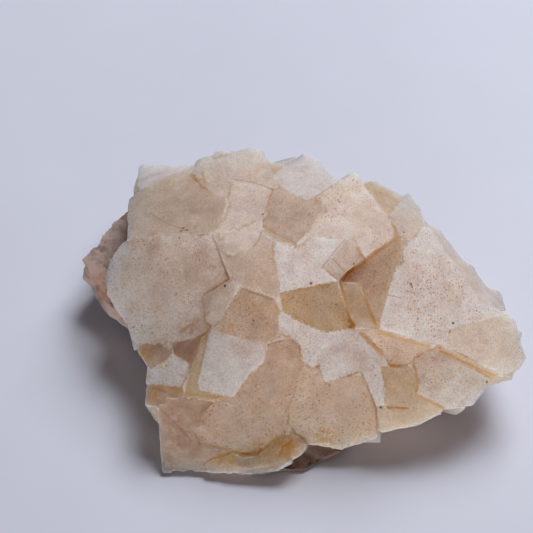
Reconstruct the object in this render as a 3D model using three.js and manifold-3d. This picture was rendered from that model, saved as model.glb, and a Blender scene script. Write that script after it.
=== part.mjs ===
// A hand specimen of fluorite: a crust of intergrown cubes on a loose piece of host rock.
// Millimetres, +Z up, origin on the resting plane under the middle of the specimen.
// Two solids: the crust, in which every crystal is grown into its neighbours, and the rock below it.
import * as THREE from "three";
import { mergeVertices } from "three/addons/utils/BufferGeometryUtils.js";
import Module from "manifold-3d";

const wasm = await Module();
wasm.setup();

// ---------- driving dimensions ----------

const CONTACT_GAP = 0.3; // clearance between crust and rock
const CONTACT_RIM = 2; // height of the contact under the front and back rims
const CONTACT_RISE = 9; // how far the rock swells up under the middle
const CONTACT_LIFT = 6; // how much higher the contact runs at the two ends
const SWELL = { halfLength: 50, halfDepth: 34 }; // reach of that swelling
const SHOULDER = { x: -46, y: 18, rise: 7, width: 13 }; // bare shoulder of rock at the left end
const CONTACT_LUMP = 0.5; // height of the lumps on the contact
const SHOULDER_LUMP = 1.4; // how much higher they are on the bare shoulder
const CONTACT_CELL = 4; // step of the grid that shapes the contact
const BLOCK = { length: 120, depth: 100, ceiling: 80 }; // everything above the contact

const FOOT = 24; // radius of the flat patch that the rock rests on
const UNDERSIDE = { slope: 0.06, curl: 0.005, lump: 0.6, least: 0.3 }; // how the rock lifts off outside it
const RIM_THICKNESS = 2.2; // thickness of the rock at its edge
const RAGGED = 0.9; // how far the rock's edge wanders in and out
const SPOKES = 48; // grid of the rock, round
const RINGS = 9; // and outwards

const CORE = { x: -1, y: 4, z: 3, halfLength: 39, halfDepth: 28, rise: 20 }; // buried mass of the crust
const FILLER = { count: 84, width: 8, stand: 2.2 }; // small crystals on it: number, mean width, height
const FILLER_VARIES = { angle: 0.2, stand: 1, lean: 14, toward: 20, width: 0.3, turn: 45 };

// Radius of the rock seen from above, every 15 degrees anticlockwise from +X.
const ROCK_OUTLINE = [
  35, 34, 31, 30, 29, 28, 29, 31, 42, 57, 53, 54, 40, 34, 34, 36, 38, 38, 36, 33, 29, 28, 31, 33,
];

// Lengths of the crossed waves that make the lumps, along x and along y, and the share of the fine ones.
const BROAD_WAVES = [
  [3.1, 7],
  [-9, 3.7],
];
const FINE_WAVES = [
  [1.9, -2.3],
  [4.1, 1.7],
];
const FINE_SHARE = 0.5;

// Steps of the fixed scatter, and which of its streams each quantity takes.
const SCATTER = { number: 12.9898, stream: 78.233, spread: 43758.5453 };
const STREAM = { angle: 1, stand: 2, lean: 3, toward: 4, wide: 5, deep: 6, turn: 7, ragged: 8 };

const GOLDEN_ANGLE = Math.PI * (3 - Math.sqrt(5));
const TOUCH = 1e-4; // corners closer than this are one

// Each crystal: centre of its top face (x, y, z), its two widths and its height, the turn of its
// edges, and the lean of its top face away from level with the compass direction it leans to.
const CRYSTALS = [
  // back rim, left to right
  [-33, 34, 21, 13, 12, 16, -5, 20, 100],
  [-29, 16, 31, 24, 17, 20, 0, 20, 165],
  [-19, 30, 28, 16, 12, 16, 15, 20, 110],
  [-14, 30, 30, 12, 10, 14, 10, 10, 20],
  [-6, 31, 25, 8, 9, 14, -20, 30, 50],
  [-7, 23, 30, 9, 10, 14, 20, 15, 60],
  [2, 26, 30, 11, 9, 16, 45, 15, 30],
  [-2, 34, 25, 9, 9, 12, 40, 25, 80],
  [12, 12, 33, 12, 18, 20, 45, 25, -10],
  [18, 22, 29, 9, 11, 14, 40, 30, 50],
  [24, 14, 30, 9, 10, 14, 35, 25, 30],
  [20, 13, 28, 8, 9, 14, 45, 35, 0],
  // middle, left to right
  [-30, -1, 22, 25, 22, 18, 10, 45, -110],
  [-38, 1, 17, 11, 13, 12, 25, 45, -110],
  [-13, 17, 32, 9, 12, 16, 20, 20, -20],
  [-14, 4, 34, 9, 6, 12, 25, 30, -60],
  [-2, 11, 33, 11, 11, 16, -40, 20, -150],
  [-8, 7, 32, 8, 6, 12, 20, 25, -100],
  [5, 6, 33, 9, 9, 12, 15, 15, -100],
  [14, -3, 30, 10, 9, 14, 25, 40, -70],
  [0, -3, 34, 13, 12, 18, 10, 5, -90],
  [10, 0, 33, 7, 5, 12, 40, 10, -30],
  [6, 1, 33, 4, 10, 10, -40, 20, -150],
  [12, -11, 28, 6, 10, 14, 5, 55, -110],
  [-10, -12, 30, 12, 12, 16, -10, 30, -110],
  [-18, -10, 31, 7, 10, 12, -10, 45, -110],
  [-8, -2, 33, 10, 9, 14, -15, 25, -100],
  // right side
  [24, -11, 32, 12, 18, 18, -10, 35, -40],
  [30, -4, 31, 20, 12, 20, -45, 35, -40],
  [34, 4, 24, 18, 10, 14, -45, 30, 10],
  [41, -15, 21, 14, 11, 14, -20, 30, -60],
  [33, -13, 23, 8, 8, 12, -45, 40, -50],
  [45, -14, 18, 9, 12, 12, -10, 40, -35],
  [43, 0, 17, 10, 10, 10, 5, 35, 10],
  [32, -21, 17, 13, 11, 12, -20, 25, -70],
  [24, -25, 16, 13, 14, 14, 15, 60, -75],
  // front, right to left
  [20, -19, 25, 8, 9, 14, 25, 50, -90],
  [6, -17, 20, 18, 16, 12, 10, 10, -80],
  [13, -20, 21, 11, 13, 12, -10, 25, -80],
  [8, -27, 12, 19, 17, 12, 0, 65, -90],
  [-12, -27, 11, 20, 22, 14, -5, 60, -100],
  [-6, -23, 19, 12, 19, 14, 0, 55, -90],
  [-18, -21, 22, 9, 13, 14, -15, 25, -105],
  [-14, -20, 22, 9, 13, 14, -15, 25, -95],
  [-26, -34, 9, 11, 17, 14, 0, 60, -100],
  [-30, -25, 13, 9, 8, 8, 5, 45, -110],
  [-28, -18, 17, 7, 5, 8, -10, 30, -80],
  [-31, -19, 14, 9, 4, 5, -5, 30, -90],
  [-12, -37, 4, 19, 6, 12, 5, 50, -95],
];

// ---------- solids ----------

// Two waves that cross each other, between -1 and 1.
function crossedWaves(x, y, [first, second]) {
  return Math.sin(x / first[0] + y / first[1]) * Math.cos(x / second[0] + y / second[1]);
}

// Low irregular lumps, between about -1.5 and 1.5.
function lumps(x, y) {
  return crossedWaves(x, y, BROAD_WAVES) + FINE_SHARE * crossedWaves(x, y, FINE_WAVES);
}

// Height of the contact between rock and crust.
function contactHeight(x, y) {
  const ends = (x / SWELL.halfLength) ** 2;
  const swell = Math.max(0, 1 - ends - (y / SWELL.halfDepth) ** 2);
  const away = ((x - SHOULDER.x) ** 2 + (y - SHOULDER.y) ** 2) / SHOULDER.width ** 2;
  const bare = Math.exp(-away);
  const smooth = CONTACT_RIM + CONTACT_RISE * swell + CONTACT_LIFT * ends + SHOULDER.rise * bare;
  return smooth + (CONTACT_LUMP + SHOULDER_LUMP * bare) * lumps(x, y);
}

// Everything above the contact, lowered by a clearance.
function aboveContact(clearance) {
  const { length, depth, ceiling } = BLOCK;
  const box = new THREE.BoxGeometry(length, depth, 2, length / CONTACT_CELL, depth / CONTACT_CELL, 1);
  const at = box.attributes.position;
  for (let i = 0; i < at.count; i++) {
    const floor = contactHeight(at.getX(i), at.getY(i)) - clearance;
    at.setZ(i, at.getZ(i) < 0 ? floor : ceiling);
  }
  return toSolid(box);
}

// The buried mass that every crystal stands out of.
function core() {
  const ball = new THREE.SphereGeometry(1, 32, 16);
  ball.rotateX(Math.PI / 2);
  ball.scale(CORE.halfLength, CORE.halfDepth, CORE.rise);
  ball.translate(CORE.x, CORE.y, CORE.z);
  return toSolid(ball);
}

// One crystal as a box turned and leaned about the centre of its top face.
function crystal([x, y, z, wide, deep, tall, turn, lean, toward]) {
  const box = new THREE.BoxGeometry(wide, deep, tall);
  box.translate(0, 0, -tall / 2);
  box.rotateZ(THREE.MathUtils.degToRad(turn));
  const compass = THREE.MathUtils.degToRad(toward);
  const axis = new THREE.Vector3(-Math.sin(compass), Math.cos(compass), 0);
  box.applyMatrix4(new THREE.Matrix4().makeRotationAxis(axis, THREE.MathUtils.degToRad(lean)));
  box.translate(x, y, z);
  return box;
}

// A fixed scatter: a number between -1 and 1 for each whole number and stream.
function scatter(number, stream) {
  const wave = Math.sin(number * SCATTER.number + stream * SCATTER.stream) * SCATTER.spread;
  return 2 * (wave - Math.floor(wave)) - 1;
}

// One small crystal on the buried mass, wound down from the top to the rim in a spiral.
function filler(number) {
  const height = 1 - (number + 0.5) / FILLER.count;
  const angle = number * GOLDEN_ANGLE + FILLER_VARIES.angle * scatter(number, STREAM.angle);
  const spread = Math.sqrt(1 - height * height);
  const seat = new THREE.Vector3(
    CORE.halfLength * spread * Math.cos(angle),
    CORE.halfDepth * spread * Math.sin(angle),
    CORE.rise * height,
  );
  const facing = new THREE.Vector3(
    seat.x / CORE.halfLength ** 2,
    seat.y / CORE.halfDepth ** 2,
    seat.z / CORE.rise ** 2,
  ).normalize();
  seat.addScaledVector(facing, FILLER.stand + FILLER_VARIES.stand * scatter(number, STREAM.stand));
  seat.add(new THREE.Vector3(CORE.x, CORE.y, CORE.z));
  const steepness = THREE.MathUtils.radToDeg(Math.acos(facing.z));
  const compass = THREE.MathUtils.radToDeg(Math.atan2(facing.y, facing.x));
  const lean = steepness + FILLER_VARIES.lean * scatter(number, STREAM.lean);
  const toward = compass + FILLER_VARIES.toward * scatter(number, STREAM.toward);
  const wide = FILLER.width * (1 + FILLER_VARIES.width * scatter(number, STREAM.wide));
  const deep = FILLER.width * (1 + FILLER_VARIES.width * scatter(number, STREAM.deep));
  const turn = FILLER_VARIES.turn * scatter(number, STREAM.turn);
  return [seat.x, seat.y, seat.z, wide, deep, wide, turn, lean, toward];
}

function toSolid(geometry) {
  geometry.deleteAttribute("normal");
  geometry.deleteAttribute("uv");
  const merged = mergeVertices(geometry, TOUCH);
  return new wasm.Manifold(
    new wasm.Mesh({
      numProp: 3,
      vertProperties: new Float32Array(merged.attributes.position.array),
      triVerts: new Uint32Array(merged.index.array),
    }),
  );
}

function toGeometry(solid) {
  const mesh = solid.getMesh();
  const geometry = new THREE.BufferGeometry();
  geometry.setAttribute("position", new THREE.Float32BufferAttribute(mesh.vertProperties, 3));
  geometry.setIndex(new THREE.BufferAttribute(mesh.triVerts, 1));
  return geometry;
}

// The largest of a solid's separate bodies.
function mainBody(solid) {
  return solid.decompose().sort((a, b) => b.volume() - a.volume())[0];
}

function crustSolid() {
  let solid = core();
  for (const row of CRYSTALS) solid = solid.add(toSolid(crystal(row)));
  for (let i = 0; i < FILLER.count; i++) solid = solid.add(toSolid(crystal(filler(i))));
  return mainBody(solid.intersect(aboveContact(0)));
}

// How far the rock reaches on one spoke of its grid.
function rockReach(spoke) {
  const place = (spoke / SPOKES) * ROCK_OUTLINE.length;
  const before = Math.floor(place);
  const from = ROCK_OUTLINE[before];
  const to = ROCK_OUTLINE[(before + 1) % ROCK_OUTLINE.length];
  return from + (to - from) * (place - before) + RAGGED * scatter(spoke, STREAM.ragged);
}

// The rock's outline as a spoke and ring grid, flat at the foot and rising towards its edge.
function rockBlank() {
  const positions = [];
  const index = [];
  for (const side of ["under", "over"]) {
    positions.push(0, 0, side === "over" ? BLOCK.ceiling : 0);
    for (let ring = 1; ring <= RINGS; ring++) {
      for (let spoke = 0; spoke < SPOKES; spoke++) {
        const angle = (spoke / SPOKES) * 2 * Math.PI;
        const radius = (rockReach(spoke) * ring) / RINGS;
        const [x, y] = [radius * Math.cos(angle), radius * Math.sin(angle)];
        positions.push(x, y, side === "over" ? BLOCK.ceiling : undersideHeight(x, y));
      }
    }
  }
  const layer = 1 + RINGS * SPOKES;
  const at = (ring, spoke) => 1 + (ring - 1) * SPOKES + (spoke % SPOKES);
  for (let spoke = 0; spoke < SPOKES; spoke++) {
    index.push(0, at(1, spoke + 1), at(1, spoke));
    index.push(layer, layer + at(1, spoke), layer + at(1, spoke + 1));
    for (let ring = 1; ring < RINGS; ring++) {
      const [a, b] = [at(ring, spoke), at(ring, spoke + 1)];
      const [c, d] = [at(ring + 1, spoke), at(ring + 1, spoke + 1)];
      index.push(a, d, c, a, b, d);
      index.push(layer + a, layer + c, layer + d, layer + a, layer + d, layer + b);
    }
    const [e, f] = [at(RINGS, spoke), at(RINGS, spoke + 1)];
    index.push(e, f, layer + f, e, layer + f, layer + e);
  }
  const geometry = new THREE.BufferGeometry();
  geometry.setAttribute("position", new THREE.Float32BufferAttribute(positions, 3));
  geometry.setIndex(index);
  return toSolid(geometry);
}

// Height of the rock's underside: the flat foot, then a lumpy slope up to just under the contact.
function undersideHeight(x, y) {
  const out = Math.hypot(x, y) - FOOT;
  if (out <= 0) return 0;
  const slope = UNDERSIDE.slope * out + UNDERSIDE.curl * out * out + UNDERSIDE.lump * Math.abs(lumps(y, x));
  const below = contactHeight(x, y) - CONTACT_GAP - RIM_THICKNESS;
  return Math.max(UNDERSIDE.least, Math.min(slope, below));
}

function rockSolid() {
  return mainBody(rockBlank().subtract(aboveContact(CONTACT_GAP)));
}

// ---------- the specimen ----------

function piece(name, solid, colour, roughness) {
  const look = { color: colour, roughness, metalness: 0, flatShading: true };
  const material = new THREE.MeshStandardMaterial(look);
  const mesh = new THREE.Mesh(toGeometry(solid), material);
  mesh.name = name;
  return mesh;
}

const specimen = new THREE.Group();
specimen.add(piece("fluorite_crystals", crustSolid(), 0xcdb9a3, 0.35));
specimen.add(piece("host_rock", rockSolid(), 0x8a7a70, 0.95));

// Centred over the origin, standing on the resting plane.
const extent = new THREE.Box3().setFromObject(specimen, true);
const middle = extent.getCenter(new THREE.Vector3());
specimen.position.set(-middle.x, -middle.y, -extent.min.z);

export default specimen;
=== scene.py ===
"""Fluorite specimen: a crust of intergrown pale cubes on a loose lump of host rock, on a pale table."""

import math

import bmesh
import bpy
import numpy as np
from bpy.props import FloatProperty, FloatVectorProperty, IntProperty, PointerProperty
from mathutils import Euler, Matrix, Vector
from mathutils.bvhtree import BVHTree


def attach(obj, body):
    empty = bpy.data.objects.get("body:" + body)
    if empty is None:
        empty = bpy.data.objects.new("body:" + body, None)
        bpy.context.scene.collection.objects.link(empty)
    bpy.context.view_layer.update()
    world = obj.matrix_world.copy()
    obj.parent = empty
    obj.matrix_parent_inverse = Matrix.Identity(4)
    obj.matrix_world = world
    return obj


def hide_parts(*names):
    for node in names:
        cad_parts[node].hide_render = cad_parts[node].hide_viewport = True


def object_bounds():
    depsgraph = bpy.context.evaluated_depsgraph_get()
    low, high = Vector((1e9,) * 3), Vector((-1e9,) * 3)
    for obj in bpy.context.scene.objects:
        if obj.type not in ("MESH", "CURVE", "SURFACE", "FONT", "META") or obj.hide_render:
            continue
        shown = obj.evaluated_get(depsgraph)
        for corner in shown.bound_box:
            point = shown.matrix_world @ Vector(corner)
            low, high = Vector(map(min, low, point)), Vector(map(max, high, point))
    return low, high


bl_info = {
    "name": "Fluorite specimen",
    "version": (1, 0, 0),
    "blender": (4, 5, 0),
    "location": "3D View > Sidebar > Specimen",
    "description": "Builds the crystals, the host rock and the table of a fluorite specimen",
    "category": "Object",
}

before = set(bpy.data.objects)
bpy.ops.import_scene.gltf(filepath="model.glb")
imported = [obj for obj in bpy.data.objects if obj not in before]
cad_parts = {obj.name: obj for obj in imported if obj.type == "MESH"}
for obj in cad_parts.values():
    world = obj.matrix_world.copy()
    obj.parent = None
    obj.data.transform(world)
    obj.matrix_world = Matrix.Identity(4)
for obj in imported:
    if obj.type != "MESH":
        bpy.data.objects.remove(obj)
CAD_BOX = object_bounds()

MM = 0.001
PLANE_ANGLE = math.radians(0.5)  # faces closer than this in direction are one crystal face
SHARP_ANGLE = math.radians(28)  # edges that bend more than this are shaded as sharp
WELD = 1e-6
BRIDGING = {"honey_and_shade", "amber_and_shade", "brown"}  # finishes of facets that only join their neighbours
FIRM = 0.6  # how firmly a facet stays near its CAD face while neighbours are brought together
LOOSE = 0.15  # the same for a facet that only joins its neighbours
BORDER_STEP = 3  # spacing of the samples on a facet's outline and inside it, in pixels
BESIDE = 3  # how far outside it the neighbour is looked for, in pixels
BREAK_DEPTHS = (0.3, 0.6)  # where along the sight lines a break begins and ends, in metres
SLAB = 10 * MM  # how thick a facet's own crystal is behind it
AIR = 30 * MM  # how far in front of a facet the crust is cut away
SLAB_GROWTH = 1.5  # how far a facet's crystal reaches under its neighbours, in pixels
AIR_GROWTH = 1.0  # how far the cut reaches over the neighbours, in pixels
SIDE_STEP = 4  # spacing of the corners along a facet's uneven sides, in pixels
SIDE_CELL = 9  # how long the waves of those sides are, in pixels
SIDE_WANDER = 0.8  # and how high, in pixels
SIDE_SEEDS = (81, 85)
LOWEST = 0.3 * MM  # the crystal behind a facet reaches down to here at most
OVERHANG = 1.8 * MM  # no crystal reaches further than this outside the box of the CAD model
SEEN_DEPTH = 0.6 * MM  # points this far behind the surface still count as seen

CAMERA_PLACE = (-0.00722, -0.26630, 0.36960)
CAMERA_TILT = math.radians(38)
LENS = 129.3
SENSOR = 36.0
FRAME_PIXELS = 533

# How frosted, how honey coloured, how speckled and how brown each kind of facet is. The frost is partly a
# frosted surface and partly a painted sheen on the level faces, and the honey and amber are partly their
# own colour and partly painted shade on the steep faces.
FINISHES = {
    "frosted_and_sheen": (1.0, 0.0, 0.45, 0.0),
    "pale": (0.6, 0.12, 0.3, 0.0),
    "freckled": (0.95, 0.05, 1.0, 0.0),
    "clear": (0.3, 0.13, 0.25, 0.0),
    "cloudy": (0.95, 0.2, 0.65, 0.0),
    "dusty": (0.5, 0.12, 0.8, 0.0),
    "ruddy": (0.05, 0.2, 1.3, 0.42),
    "dun": (0.1, 0.25, 1.1, 0.25),
    "tan": (0.18, 0.25, 1.0, 0.1),
    "honey_and_shade": (0.3, 0.55, 0.25, 0.0),
    "amber_and_shade": (0.05, 0.8, 1.5, 0.1),
    "rusty": (0.3, 0.5, 1.0, 0.3),
    "brown": (0.2, 0.2, 0.4, 0.65),
}

# Frost and honey of the faces that the camera doesn't see. They change with the upward part of a face's
# direction, between the two slants, by what is added, and stray a little from face to face. The frost is a
# painted sheen that makes level faces whiter, and the honey a painted shade that makes steep faces darker.
UNSEEN_FROST_AND_SHEEN = {"slants": (0.2, 0.95), "steep": 0.25, "added": 0.35, "stray": 0.15}
UNSEEN_HONEY_AND_SHADE = {"slants": (-0.1, 0.7), "steep": 0.35, "added": -0.3, "stray": 0.1}
UNSEEN_SPECKS = (0.1, 0.5)
UNSEEN_SEED = 7

# The facets that the camera sees, each as its finish and its outline in pixels of the camera's frame.
FACETS = [
    ("frosted_and_sheen", [(140, 165), (159, 165), (194, 169), (192, 173), (175, 173), (159, 180), (141, 190),
        (138, 184)]),
    ("clear", [(159, 180), (175, 173), (192, 173), (202, 186), (227, 198), (230, 204), (218, 232),
        (198, 234), (180, 233), (139, 237), (132, 234), (128, 218), (129, 199), (141, 190)]),
    ("pale", [(194, 169), (198, 160), (218, 155), (251, 148), (261, 151), (269, 163), (273, 175),
        (281, 187), (273, 190), (251, 183), (231, 179), (228, 197), (202, 186), (192, 173)]),
    ("honey_and_shade", [(269, 163), (286, 165), (273, 175)]),
    ("pale", [(231, 179), (251, 183), (273, 190), (266, 207), (261, 218), (240, 228), (225, 235),
        (218, 232), (230, 204), (228, 197)]),
    ("pale", [(225, 235), (237, 227), (261, 219), (263, 228), (255, 245), (245, 251), (234, 256),
        (226, 254), (220, 242)]),
    ("clear", [(255, 245), (263, 228), (274, 239), (274, 260), (280, 285), (279, 298), (242, 285),
        (229, 279), (225, 267), (216, 245), (210, 232), (218, 232), (220, 242), (226, 254), (234, 256),
        (245, 251)]),
    ("cloudy", [(112, 258), (124, 243), (139, 240), (180, 234), (210, 232), (216, 245), (225, 267),
        (229, 279), (202, 296), (205, 322), (212, 326), (201, 337), (186, 341), (138, 344), (126, 322),
        (107, 293), (107, 275)]),
    ("pale", [(229, 279), (242, 285), (232, 301), (222, 318), (212, 326), (205, 322), (202, 296)]),
    ("tan", [(242, 285), (273, 297), (280, 312), (277, 334), (265, 343), (248, 338), (232, 335),
        (212, 326), (222, 318), (232, 301)]),
    ("frosted_and_sheen", [(273, 175), (286, 165), (304, 155), (316, 159), (336, 182), (315, 196), (306, 200),
        (281, 187)]),
    ("clear", [(281, 187), (306, 200), (315, 197), (327, 210), (296, 243), (264, 226), (266, 207),
        (273, 190)]),
    ("honey_and_shade", [(264, 226), (296, 243), (297, 248), (283, 245), (274, 239), (263, 230)]),
    ("dusty", [(315, 196), (354, 172), (363, 185), (388, 214), (398, 234), (365, 259), (353, 237),
        (312, 238), (298, 247), (296, 243), (327, 210)]),
    ("honey_and_shade", [(363, 185), (372, 181), (404, 197), (388, 214)]),
    ("pale", [(404, 197), (409, 194), (419, 209), (424, 223), (410, 241), (398, 234), (388, 214)]),
    ("frosted_and_sheen", [(274, 240), (283, 245), (298, 247), (312, 238), (349, 237), (321, 267), (340, 281),
        (286, 291), (280, 293), (274, 268)]),
    ("pale", [(349, 237), (353, 237), (365, 259), (348, 272), (340, 281), (321, 267)]),
    ("tan", [(365, 259), (398, 234), (410, 241), (403, 250), (404, 263), (398, 267), (388, 294),
        (380, 323), (374, 320), (359, 282), (341, 281), (348, 272)]),
    ("amber_and_shade", [(280, 293), (286, 291), (340, 281), (341, 290), (347, 311), (355, 327), (342, 330),
        (324, 333), (296, 320), (284, 312)]),
    ("honey_and_shade", [(340, 281), (359, 282), (374, 320), (380, 329), (355, 327), (347, 311)]),
    ("freckled", [(410, 241), (428, 226), (437, 237), (459, 270), (479, 300), (504, 311), (470, 322),
        (450, 331), (446, 345), (429, 343), (379, 330), (388, 294), (398, 267), (404, 263), (403, 250)]),
    ("pale", [(428, 226), (440, 231), (462, 261), (472, 266), (481, 281), (498, 304), (504, 311),
        (479, 300), (459, 270), (437, 237)]),
    ("dusty", [(450, 331), (470, 322), (504, 311), (514, 321), (520, 344), (525, 357), (518, 368),
        (501, 374), (474, 360), (446, 347)]),
    ("honey_and_shade", [(446, 347), (474, 360), (501, 374), (490, 379), (466, 364), (440, 352), (436, 345)]),
    ("tan", [(360, 331), (379, 330), (429, 343), (436, 345), (419, 356), (408, 365), (390, 366),
        (383, 354)]),
    ("cloudy", [(408, 365), (419, 356), (436, 349), (458, 360), (489, 377), (484, 390), (473, 404),
        (448, 409), (416, 393), (420, 383), (415, 374)]),
    ("honey_and_shade", [(380, 367), (408, 365), (415, 374), (420, 383), (416, 393), (445, 408), (437, 414),
        (417, 425), (397, 428), (382, 432), (378, 426), (376, 408), (385, 405), (385, 386)]),
    ("frosted_and_sheen", [(277, 334), (280, 312), (284, 312), (296, 320), (324, 333), (342, 330), (360, 331),
        (383, 354), (390, 366), (380, 367), (385, 386), (385, 405), (376, 406), (366, 380), (361, 371),
        (325, 382), (319, 364), (313, 368), (302, 361), (299, 345), (290, 338)]),
    ("dun", [(302, 362), (313, 368), (319, 364), (325, 382), (361, 371), (366, 382), (376, 408),
        (378, 426), (377, 437), (342, 449), (305, 443), (288, 424), (289, 407), (296, 391)]),
    ("ruddy", [(235, 397), (250, 374), (264, 362), (268, 344), (279, 340), (292, 338), (300, 346),
        (302, 361), (296, 391), (289, 407), (288, 424), (278, 435), (258, 454), (242, 456), (231, 450),
        (199, 444), (195, 432), (201, 412), (212, 402), (226, 398)]),
    ("frosted_and_sheen", [(209, 328), (232, 335), (248, 339), (265, 344), (264, 362), (250, 374), (235, 397),
        (199, 390), (198, 382), (203, 358)]),
    ("honey_and_shade", [(201, 338), (209, 328), (203, 358), (198, 382), (199, 390), (226, 398), (212, 401),
        (185, 396), (189, 376)]),
    ("brown", [(138, 344), (161, 344), (172, 352), (164, 362), (150, 369), (139, 352)]),
    ("frosted_and_sheen", [(161, 343), (172, 341), (171, 350)]),
    ("brown", [(172, 343), (201, 338), (189, 376), (189, 363), (174, 354)]),
    ("frosted_and_sheen", [(170, 357), (177, 358), (189, 363), (187, 375), (171, 372), (164, 368)]),
    ("frosted_and_sheen", [(150, 369), (164, 369), (171, 372), (187, 376), (182, 386), (160, 385), (147, 385)]),
    ("brown", [(147, 385), (160, 385), (182, 387), (185, 397), (166, 396), (164, 407), (146, 405)]),
    ("brown", [(166, 396), (185, 397), (212, 402), (201, 412), (195, 432), (199, 444), (231, 450),
        (218, 458), (204, 462), (206, 471), (163, 472), (158, 407), (164, 407)]),
    ("rusty", [(204, 462), (231, 450), (258, 454), (278, 435), (291, 435), (305, 443), (304, 450),
        (297, 456), (277, 468), (245, 472), (206, 472)]),
]
# Parts of the crust's lower edge that are broken off, as outlines in pixels of the camera's frame.
BREAKS = [[(200, 475), (245, 475), (278, 471), (300, 460), (318, 455), (318, 495), (200, 495)]]

# Marks, in pixels of the camera's frame; cores and stains also have their reach in millimetres.
CORES = [
    ((178, 208), 8), ((190, 268), 6), ((204, 258), 5), ((300, 214), 4), ((256, 322), 3), ((316, 308), 6),
    ((350, 405), 9), ((262, 385), 6), ((242, 420), 9), ((408, 408), 6),
]
ROCK_STAINS = [((101, 283), 3), ((104, 292), 3), ((131, 243), 2)]
RUST_CRACKS = [
    [(204, 464), (212, 459), (232, 452), (248, 454)],
    [(280, 455), (284, 446), (292, 440)],
    [(440, 348), (450, 331)],
    [(388, 407), (408, 408)],
]
HAIR_LINES = [
    [(232, 179), (252, 182), (275, 190)],
    [(228, 231), (234, 227), (240, 231)],
    [(388, 295), (402, 298)],
    [(407, 291), (415, 293)],
    [(322, 268), (334, 252), (346, 238)],
    [(333, 259), (345, 272)],
    [(150, 213), (168, 224), (186, 230)],
]
AMBER_LINES = [
    [(376, 253), (399, 237)],
    [(341, 286), (347, 311), (354, 326)],
    [(358, 284), (374, 320), (378, 330)],
    [(379, 332), (404, 340), (428, 346)],
    [(361, 334), (382, 355)],
    [(440, 350), (470, 365), (497, 377)],
    [(413, 362), (418, 380), (416, 391)],
    [(417, 394), (445, 409)],
    [(202, 172), (205, 183)],
    [(236, 451), (258, 455), (279, 437)],
    [(190, 394), (226, 399)],
    [(148, 387), (182, 391)],
    [(180, 332), (196, 322), (209, 312)],
]
MAUVE_LINES = [
    [(199, 235), (212, 235), (218, 250), (227, 275)],
    [(268, 345), (279, 341), (292, 340), (300, 349)],
    [(367, 385), (376, 408), (377, 434)],
    [(244, 289), (272, 299)],
    [(157, 406), (173, 421), (192, 441)],
    [(165, 469), (190, 470), (214, 469)],
    [(147, 400), (153, 388), (166, 392)],
]
DARK_SPOTS = [
    (311, 283), (411, 284), (453, 323), (187, 230), (225, 286), (263, 214), (487, 382), (381, 407),
]
RED_SPOTS = [(354, 264), (183, 228), (181, 231), (404, 232)]
RUST_STAINS = [
    ((142, 355), 3), ((152, 393), 3), ((326, 440), 5), ((262, 452), 4), ((288, 446), 5), ((226, 466), 4),
]
BROWN_STAINS = [
    ((150, 350), 3), ((158, 402), 3), ((172, 418), 5), ((192, 352), 3), ((152, 240), 3), ((180, 440), 6),
    ((172, 460), 4), ((200, 420), 4), ((218, 467), 3), ((246, 469), 3), ((272, 465), 3), ((290, 456), 3),
    ((190, 328), 4),
]

# Colours of the marks.
CORE_GREY = (0.47, 0.36, 0.30, 1)
# painted highlight on the convex edges
PAINTED_EDGE_HIGHLIGHT = (0.97, 0.91, 0.84, 1)
MAUVE = (0.30, 0.16, 0.15, 1)
DARK_SPECK = (0.32, 0.14, 0.08, 1)
ORANGE_SPECK = (0.62, 0.27, 0.08, 1)
BLACK_SPECK = (0.12, 0.05, 0.03, 1)
HAIR_BROWN = (0.48, 0.27, 0.16, 1)
SPOT_BLACK = (0.06, 0.035, 0.03, 1)
SPOT_RED = (0.36, 0.10, 0.03, 1)
ROCK_SPECK = (0.03, 0.02, 0.016, 1)
THROUGH = (0.93, 0.80, 0.62, 1)  # colour of light that has passed through the crystals

NOISE_LEVELS = 256  # heights that the noise picks from

# Noise in the surfaces, as the size of its features and its seed.
PLATE_WOBBLE = (2.6 * MM, 31)
SWELL = (7 * MM, 35)
WEAR = (3 * MM, 41)
CHIPS = (4 * MM, 51)
SMALL_CHIPS = (1.3 * MM, 53)
ROCK_RIDGES = (7 * MM, 71)
ROCK_CRUMBS = (1.5 * MM, 75)

# Rounds of smoothing that wear an edge, and further ones that show how much the surface bends.
WEAR_ROUNDS = 1
BEND_ROUNDS = 5
WEAR_LEVEL = 0.7  # the share of the edge wear that an edge gets on average
WEAR_VARIES = 0.6  # and how far it varies

# Where edges chip: how high the noise is there, and how much the surface bends, in millimetres.
CHIP_NOISE = (0.15, 0.7)
CHIP_BEND = (-0.03, -0.2)
SMALL_CHIP_SHARE = 0.6

# The thin plates on the crystals' faces.
LEAST_PLATED = 18 * MM * MM  # smaller faces have none
LEAST_POINTS = 40  # nor have faces with fewer points of the detailed mesh
LEAST_PLATES = 2
PLATE_AREA = 70 * MM * MM  # a face has one more plate for each such area
MOST_PLATES = 7
PLATE_SEED = 1000  # plus the face's number
PLATE_REACH = (0.12, 0.42)  # half the size of a plate, as shares of its face
PLATE_HEIGHTS = (-0.7, 0.5, 1.0)  # in growth steps
PLATE_RIM = 0.5 * MM  # half the width of a plate's sloping rim, and how far the rim wanders

# The rock.
RIDGE_SHARE = 1.5  # how much its ridges and its crumbs add to the relief, and how deep it starts
CRUMB_SHARE = 0.4
RELIEF_START = -1.0
ROCK_SOLE = 1.2 * MM  # the relief fades below this height, so that the rock lies flat
UNDERSIDE = Vector((0.006, -0.036, 0.002))  # about here, in metres, the rock is painted dark brown
UNDERSIDE_REACH = (22, 12)  # that brown ends and is whole this far off, in millimetres

# The stage.
TABLE_HALF = 1.2
TABLE_SQUARES = 24
TABLE_TOP = -0.1 * MM
WINDOW = {"place": (0.34, 0.60, 0.90), "size": (0.65, 0.65), "colour": (0.98, 0.985, 1.0)}
FILL = {"place": (-0.05, -1.0, 0.08), "size": (0.7, 0.1), "colour": (1.0, 0.94, 0.87)}
SKY = (1.0, 0.87, 0.82, 1)


# ---------- settings ----------


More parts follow.
